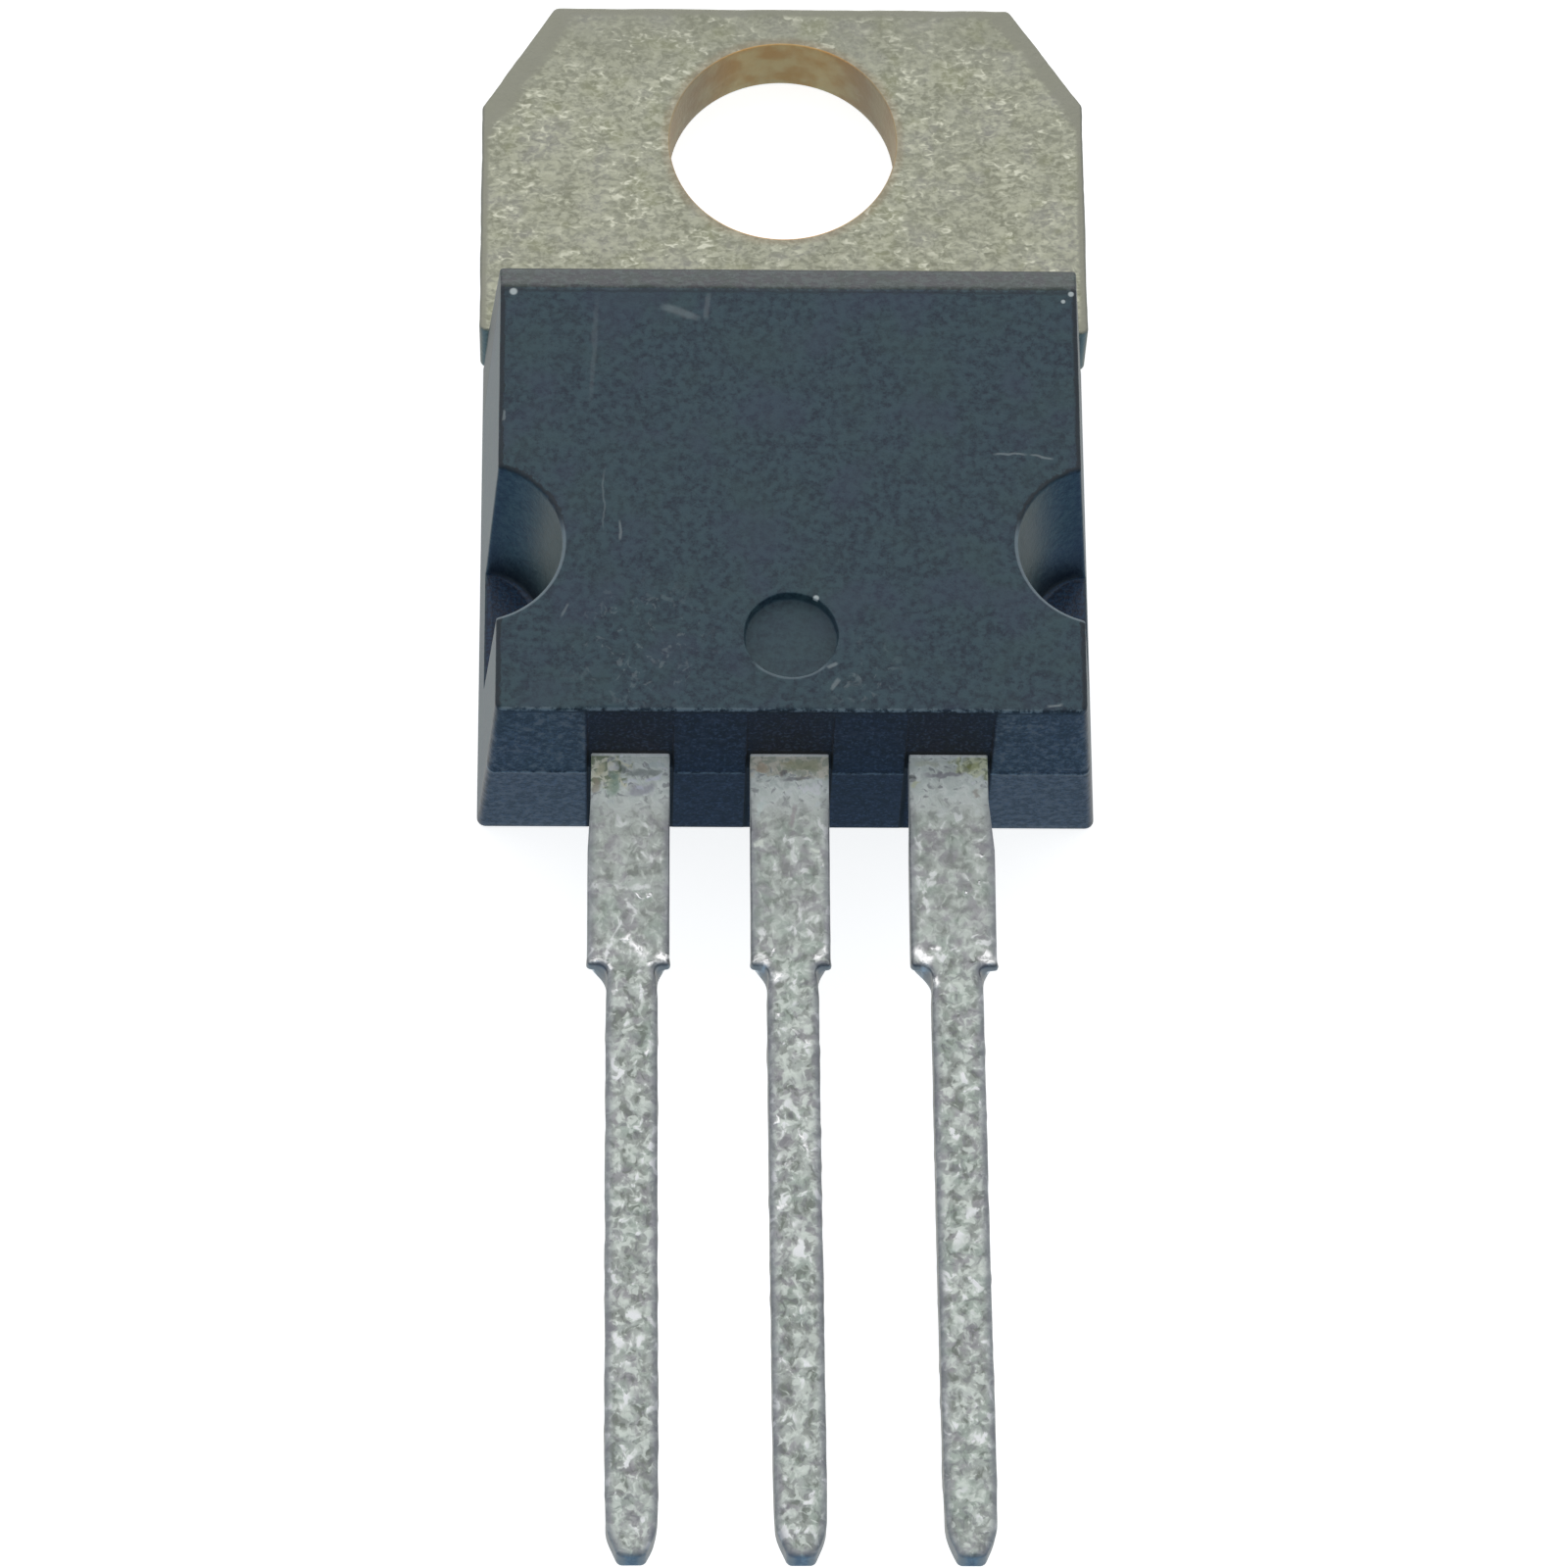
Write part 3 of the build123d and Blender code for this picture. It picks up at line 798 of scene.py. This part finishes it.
def body():
    """The body as a stack of outlines from a pole under it to a pole in the pin mark: base, low walls,
    notch floors, walls with flash at the parting line, bevel, a worn face edge, the face drawn in to a
    plain oblong and from there along rays to the pin mark's circle, and the mark."""
    rows = []

    def row(plan, height):
        rows.append(np.column_stack([plan, np.broadcast_to(height, len(plan))]))

    base = body_outline(0, 0)
    run = np.cumsum(np.linalg.norm(np.diff(base, axis=0, prepend=base[-1:]), axis=1))
    at_lead_end = base[:, 1] < lead_end_y + 0.35
    centre = np.array([0, -8.0])
    for share in np.linspace(0.08, 1, 10) ** 0.8:
        row(centre + (body_outline(0, 0, base_edge) - centre) * share, base_recess)
    for angle in np.linspace(0, pi / 2, 4)[1:]:
        row(body_outline(0, 0, base_edge * (1 - sin(angle))), base_recess + base_edge * (1 - cos(angle)))
    for z in (0.2, 0.45, 0.7, 0.95, 1.15, 1.26, 1.28, 1.33, 1.38):
        row(body_outline(z, 0), z)
    for share in np.linspace(0, 1, 8):
        row(body_outline(notch_floor_z + 0.015 * share, share), notch_floor_z + 0.015 * share)
    flash = (0.008 + 0.004 * ripple(run, 0, 0.3, 8)) * at_lead_end
    wall_heights = (1.6, 1.85, 2.1, 2.3, 2.395, 2.415, 2.43, 2.45, 2.6, 2.8, 3.0, 3.2, 3.4, 3.6, 3.8, 4.0)
    for z in (*wall_heights, 4.12, 4.19, 4.21, 4.27, 4.33, 4.39):
        plan = body_outline(z, 1)
        plan[:, 1] -= flash * (abs(z - parting_z) < 0.02)
        row(plan, z)
    chips = np.clip(ripple(run, 0, 0.25, 21) - 0.3, 0, 1) * np.clip(ripple(run, 0, 0.9, 22) + 0.2, 0, 1)
    worn = face_edge * (1 + 0.25 * ripple(run, 0, 0.4, 23)) + 0.05 * chips * (0.4 + at_lead_end)
    edge, drawn_in = body_outline(body_height, 1), body_outline(body_height, 1, face_border)
    for angle in np.linspace(0.15, pi / 2, 5):
        shelf = body_outline(body_height - face_edge * (1 - sin(angle)), 1)
        cut = (worn * (1 - cos(angle)) / face_border)[:, None]
        row(shelf + (drawn_in - edge) * cut, body_height - worn * (1 - sin(angle)))
    inset = edge + (drawn_in - edge) * (worn / face_border)[:, None]
    oblong = body_outline(body_height, 0, face_border)
    middle = np.column_stack([oblong[:, 0] * 0.6, notch_y + (oblong[:, 1] - notch_y) * 0.9])
    from_mark = middle - (0, pin_mark_y)
    ring = from_mark / np.linalg.norm(from_mark, axis=1)[:, None]
    ring *= 1 - 0.012 * (1 + ripple(ring[:, 0], ring[:, 1], 0.35, 31))[:, None]
    rim = ring * (pin_mark_radius + pin_mark_lip) + (0, pin_mark_y)
    for share in (0.01, 0.03, *np.linspace(0, 1, 13)[1:]):
        row(inset + (middle - inset) * share, body_height)
    for share in (*np.linspace(0, 1, 13)[1:-1], 0.985, 1):
        row(middle + (rim - middle) * share, body_height)
    for angle in (pi / 6, pi / 3, pi / 2):
        lip = ring * (pin_mark_radius + pin_mark_lip * (1 - sin(angle))) + (0, pin_mark_y)
        row(lip, body_height - pin_mark_lip * (1 - cos(angle)))
    for radius, share in ((0.757, 0.45), (0.75, 0.8), (0.735, 0.95), (0.7, 1), (0.5, 1), (0.25, 1)):
        row(ring * radius + (0, pin_mark_y), body_height - pin_mark_depth * share)
    poles = [(*centre, base_recess), (0, pin_mark_y, pin_mark_floor_z)]
    return skin("epoxy_body", np.array(rows), poles=poles)


def epoxy_finish():
    """Filled epoxy: a dark blue-grey with a fine grain, smoother on its walls and darker on the bevel,
    with painted shade over and between the leads, in the lead slots and crevices and deep in the notches,
    painted shade lines and painted highlight lines along its edges, a pale line at the parting line,
    rubbed paler in places, with hair scratches and small chips on its face."""
    epoxy = Finish("filled_epoxy")
    grain = epoxy.noise(7.5, 3, 0.7)
    fine = epoxy.noise(17, 2, 0.6)
    cloud = epoxy.noise(1.1, 3, 0.55)
    from_mark = epoxy.distance(0, pin_mark_y)
    in_mark = from_mark.rises(pin_mark_radius, pin_mark_radius - 0.04)
    mark_floor = in_mark * epoxy.z.rises(pin_mark_floor_z - 0.1, pin_mark_floor_z - 0.02)
    face = epoxy.z.rises(body_height - 0.06, body_height - 0.02).either(mark_floor)
    epoxy.colour = epoxy.mix(grain.rises(0.38, 0.62), ink("0f2537"), ink("354d57"))
    epoxy.coat(fine.rises(0.4, 0.62) * 0.5, "2e4854")
    epoxy.coat(cloud.rises(0.4, 0.7) * 0.3, "35504f")
    epoxy.coat(epoxy.noise(0.9, 2).rises(0.5, 0.66) * 0.35, "343f56")
    epoxy.coat(mark_floor * 0.3, "40545e")
    at_end = epoxy.y.rises(lead_end_y + 0.34, lead_end_y + 0.24)
    at_tab = epoxy.y.rises(-hole_to_body - 1.08, -hole_to_body - 1.02)
    lower = epoxy.z.rises(parting_z + 0.01, parting_z - 0.02)
    middle = abs(epoxy.x).rises(lead_pitch + 0.74, lead_pitch + 0.7)
    from_lead = abs(abs(abs(epoxy.x) - lead_pitch / 2) - lead_pitch / 2)
    shaded_slot = from_lead.rises(slot_half + 0.03, slot_half)
    wall = at_end * (1 - face)
    epoxy.coat(wall * 0.3, "58484c")
    epoxy.coat(wall * lower * 0.45, "605a60")
    # Painted shade: the end wall between the outer leads is darkened where the leads keep light off it.
    epoxy.coat(wall * middle * 0.8, "001834")
    # Painted shade: the slots over the leads are near-black.
    epoxy.coat(wall * shaded_slot * 0.96, "000a24")
    epoxy.coat(wall * grain.rises(0.52, 0.44) * 0.75, "07131f")
    epoxy.coat(wall * grain.rises(0.54, 0.62) * (0.6 - middle * 0.5), "706c6c")
    epoxy.coat(wall * fine.rises(0.52, 0.66) * 0.4, "52627a")
    lead_top = lead_mid_height + lead_thickness / 2
    # Painted shade: the crevice where each lead enters its slot is near-black.
    crevice_shade = from_lead.rises(lead_root_width / 2 - 0.04, lead_root_width / 2)
    crevice_shade = crevice_shade * epoxy.z.rises(lead_top + 0.1, lead_top)
    crevice_shade = crevice_shade.either(abs(epoxy.z - lead_top - 0.05).rises(0.08, 0.05)) * shaded_slot * wall
    epoxy.coat(crevice_shade * 0.9, "01040a")
    mottle = epoxy.noise(2.6, 3, 0.6, 0.4)
    bevel_tint = epoxy.mix(mottle.rises(0.44, 0.56), ink("1a1a22"), ink("0e241a"))
    bevel_tint = epoxy.mix(grain.rises(0.47, 0.58) * 0.65, bevel_tint, ink("465250"))
    epoxy.coat(at_tab * 0.85, bevel_tint)
    across, along = abs(epoxy.x) - body_base_half, epoxy.y - notch_y
    squared = across * across + along * along
    from_notch = squared.math("SQRT", squared)
    past_notch = from_notch - notch_radius
    uneven = (grain - 0.5) * 0.16
    in_notch = from_notch.rises(notch_radius + 0.01, notch_radius - 0.02)
    in_notch = in_notch * (across + epoxy.z * side_draft).rises(-0.01, -0.05)
    in_notch = in_notch * epoxy.z.rises(notch_floor_z - 0.02, notch_floor_z - 0.01)
    epoxy.coat(in_notch * across.rises(-0.6, -0.15) * 0.45, "30304e")
    epoxy.coat(in_notch * across.rises(-0.6, -1.2) * 0.5, "2e443a")
    epoxy.coat(in_notch * grain.rises(0.52, 0.64) * 0.3, "4c5a5e")
    # Painted shade: the notch walls darken towards the floor, and the floor is painted a deep navy shade.
    epoxy.coat(in_notch * epoxy.z.rises(2.5, 1.5) * 0.8, "030c1a")
    shaded_notch_floor = in_notch * epoxy.z.rises(notch_floor_z + 0.08, notch_floor_z + 0.03)
    notch_floor_shade = epoxy.mix(fine.rises(0.4, 0.6), ink("001c38"), ink("0d3858"))
    epoxy.coat(shaded_notch_floor * 0.95, notch_floor_shade)
    top = epoxy.z.rises(body_height - 0.08, body_height - 0.04)
    face_half = body_base_half - body_height * side_draft
    # Painted shade lines: dark along the face's side edges, the notch rims, the face's edge over the end
    # wall, the bevel's foot and the face's edge at the bevel.
    dark = top * abs(abs(epoxy.x) - face_half + 0.03 + uneven).rises(0.06, 0.03)
    at_rim = abs(past_notch - 0.035 + uneven).rises(0.05, 0.02)
    dark = dark.either(top * at_rim * along.rises(0.1, 0.6))
    dark = dark.either(abs(epoxy.z - body_height + 0.07 + uneven).rises(0.05, 0.02) * at_end)
    dark = dark.either(abs(epoxy.z - bevel_foot_z + 0.02).rises(0.05, 0.02) * at_tab)
    dark = dark.either(top * abs(epoxy.y + hole_to_body + 1.1 + uneven).rises(0.04, 0.02) * 0.6)
    epoxy.coat(dark * 0.8, "0b1722")
    # Pale lines: along the flash at the parting line, and painted highlights on the pin mark's lower
    # edge, the face's edge over the end wall and the notches' lower edges.
    pale = abs(epoxy.z - parting_z + 0.01).rises(0.05, 0.02) * wall * (1 - shaded_slot)
    pale = pale * grain.rises(0.35, 0.6) * 0.55
    mark_edge = abs(from_mark - pin_mark_radius).rises(0.05, 0.02)
    pale = pale.either(mark_edge * epoxy.y.rises(pin_mark_y - 0.45, pin_mark_y - 0.62) * 0.4)
    end_edge = top * epoxy.y.rises(lead_end_y + 0.13, lead_end_y + 0.09)
    pale = pale.either(end_edge * grain.rises(0.4, 0.6) * 0.6)
    notch_edge = abs(past_notch - 0.02).rises(0.04, 0.015)
    pale = pale.either(notch_edge * top * along.rises(0.5, 0.1) * 0.6)
    epoxy.coat(pale, "84929a")
    epoxy.coat(epoxy.z.rises(0.12, 0.04) * 0.4, "0c1620")
    wear = 0.0
    wandering = epoxy.shaken(3, 0.14)
    for *place, strength in (
        (3.53, -7.82, 0.65, 0.03, 0, 0.6),
        (4.05, -7.87, 0.45, 0.03, -12, 0.6),
        (-2.98, -8.7, 1.3, 0.025, 89, 0.3),
        (-2.72, -9.25, 0.4, 0.03, 90, 0.55),
        (-1.76, -5.23, 0.78, 0.1, -22, 0.4),
        (-1.34, -5.12, 0.6, 0.07, 85, 0.28),
        (-3.16, -5.95, 2.2, 0.06, 87, 0.16),
        (-4.59, -7.16, 0.26, 0.03, 90, 0.6),
        (0.65, -11.66, 0.2, 0.05, 40, 0.7),
        (0.68, -12.0, 0.26, 0.045, 50, 0.6),
        (-3.6, -10.7, 0.35, 0.03, 65, 0.4),
        (4.15, -12.36, 0.28, 0.03, 5, 0.7),
    ):
        wear = wear + epoxy.scratch(*place, wandering) * strength
    rubbed = epoxy.distance(-2.4, -11.3).rises(1.5, 0.5)
    rubbed = rubbed.either(epoxy.distance(1.1, -11.8).rises(0.8, 0.3))
    wear = wear + rubbed * epoxy.noise(5, 2, 0.6, 1.0).rises(0.58, 0.68) * 0.3
    epoxy.coat(wear * face * 0.85, "8c9699")
    chips = ((-4.47, -4.86, 0.08), (4.59, -4.85, 0.06), (4.46, -4.99, 0.045), (0.4, -10.46, 0.06))
    for x, y, size in chips:
        dot = epoxy.distance(x, y).rises(size, size * 0.5) * top
        epoxy.coat(dot * 0.85, "c3cccc")
    roughness = 0.4 + face * 0.16 + wall * middle * 0.3 + (grain - 0.5) * 0.16
    height = grain * 0.6 + fine * 0.3 + cloud * 0.4 - wear * face * 0.5 + mottle * at_tab * 0.8
    return epoxy.surface(epoxy.colour, roughness, height, 0.016)


epoxy_body = body()
epoxy_body.data.materials.append(epoxy_finish())
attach(epoxy_body, "root")
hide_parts("moulded_body")

# Chip, solder and bond wires: sealed in the body. The chip is a square of silicon soldered to the
# spreader, and two aluminium wires are bonded from it to the outer leads.
def chip_finish():
    """Etched silicon with its aluminium bond areas."""
    silicon = Finish("etched_silicon")
    colour = silicon.mix(silicon.noise(3, 2).rises(0.3, 0.7), ink("4b4f5c"), ink("676b78"))
    return silicon.surface(colour, 0.25 + silicon.noise(6) * 0.1, silicon.noise(20), 0.002, metallic=0.4)


def die_solder_finish():
    """Soft solder, dull and slightly pooled."""
    solder = Finish("die_solder_layer")
    colour = solder.mix(solder.noise(4, 3).rises(0.3, 0.7), ink("8a8c8e"), ink("a8aaab"))
    return solder.surface(colour, 0.4 + solder.noise(5) * 0.2, solder.noise(9), 0.01, metallic=1.0)


def bond_wire_finish():
    """Drawn aluminium wire with fine die lines."""
    wire = Finish("drawn_aluminium")
    colour = wire.mix(wire.noise(8, 2).rises(0.3, 0.7), ink("c2c4c6"), ink("d8dadb"))
    return wire.surface(colour, 0.3 + wire.noise(12) * 0.1, wire.noise(30), 0.003, metallic=1.0)


wire_metal = bond_wire_finish()
for node, finish in (
    ("silicon_die", chip_finish()),
    ("die_solder", die_solder_finish()),
    ("emitter_bond_wire", wire_metal),
    ("base_bond_wire", wire_metal),
):
    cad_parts[node].data.materials.clear()
    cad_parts[node].data.materials.append(finish)

# Floor: a plain pale table, seen only by the camera, so that it takes the shadow of the part and leaves
# the light on the part to the lamps and the surroundings.
def floor_finish():
    """White table: matte, lifted to white where no shadow falls, and clear from below."""
    table = Finish("pale_table")
    matte = table.node("ShaderNodeBsdfDiffuse", (), {"Color": (0.6, 0.6, 0.6, 1)})
    lift = table.node("ShaderNodeEmission", (), {"Color": (1, 1, 1, 1), "Strength": 0.8})
    both = table.node("ShaderNodeAddShader", (), {0: matte, 1: lift})
    clear = table.node("ShaderNodeBsdfTransparent")
    below = table.node("ShaderNodeNewGeometry", output="Backfacing")
    table.close(table.node("ShaderNodeMixShader", (), {0: below, 1: both, 2: clear}))
    return table.material


floor_reach = 0.6
floor_drop = 0.00003
floor_mesh = bpy.data.meshes.new("table_top")
floor_mesh.from_pydata(
    [(x * floor_reach, y * floor_reach, -floor_drop) for x, y in ((-1, -1), (1, -1), (1, 1), (-1, 1))],
    [],
    [(0, 1, 2, 3)],
)
floor = bpy.data.objects.new("table_top", floor_mesh)
bpy.context.scene.collection.objects.link(floor)
floor.data.materials.append(floor_finish())
floor.visible_diffuse = floor.visible_glossy = floor.visible_transmission = floor.visible_shadow = False

# Surroundings and lamps: soft light from above and behind the tab, falling off towards the leads, a wide
# and a small lamp over the tab for the bright crests on the metal, and a low panel behind the tab.
world = bpy.data.worlds.new("soft_studio")
bpy.context.scene.world = world
world.use_nodes = True
sky = world.node_tree
sky.nodes.clear()


class Surroundings(Finish):
    """The world's nodes, on the direction of each ray."""

    def __init__(self, tree):
        self.tree = tree
        self.take(self.node("ShaderNodeTexCoord", output="Generated"))


studio = Surroundings(sky)
fall = (studio.y + studio.z * 0.4).rises(-1.0, 0.9)
shade = studio.mix(fall, (0.25, 0.34, 0.43, 1), (1.0, 1.0, 1.0, 1))
below = studio.mix(studio.y.rises(-0.35, 0.25), (0.25, 0.44, 0.66, 1), (0.93, 0.96, 0.94, 1))
shade = studio.mix(studio.z.rises(-0.02, -0.3), shade, below)
seen = studio.node("ShaderNodeLightPath", output="Is Camera Ray")
shade = studio.mix(seen, shade, (1, 1, 1, 1))
background = studio.node("ShaderNodeBackground", (), {"Color": shade, "Strength": seen * 0.15 + 0.85})
world_end = sky.nodes.new("ShaderNodeOutputWorld")
sky.links.new(background.socket, world_end.inputs["Surface"])

target = Vector((0, -0.008, 0.002))
for name, place, size, power in (
    ("wide_lamp", (-0.06, 0.1, 0.22), 0.12, 0.018),
    ("crest_lamp", (0.05, 0.13, 0.2), 0.03, 0.006),
    ("back_panel", (0, 0.3, 0.03), 0.2, 0.12),
):
    lamp = bpy.data.lights.new(name, "AREA")
    lamp.size, lamp.energy = size, power
    holder = bpy.data.objects.new(name, lamp)
    holder.location = place
    holder.rotation_euler = (target - Vector(place)).to_track_quat("-Z", "Y").to_euler()
    bpy.context.scene.collection.objects.link(holder)

# Camera: above the leads, looking down and along the part towards the tab. Its place is in millimetres
# along its own axes, and its lens is given as a multiple of the width of its frame.
lens_per_frame = 4.61125
frame_width = 36.0
camera_place = (0.05, -10.33, 123.66)
camera_tilt = Euler((radians(-26.399), radians(1.285), radians(-0.268)), "XYZ").to_matrix()
camera_data = bpy.data.cameras.new("camera")
camera_data.sensor_width = frame_width
camera_data.lens = frame_width * lens_per_frame
camera_data.clip_start = 0.01
camera_data.clip_end = 10
camera = bpy.data.objects.new("camera", camera_data)
to_part = camera_tilt.transposed()
camera.location = to_part @ Vector(camera_place) * MM
camera.rotation_euler = to_part.to_euler()
bpy.context.scene.collection.objects.link(camera)
bpy.context.scene.camera = camera
bpy.context.scene.view_settings.view_transform = "Standard"
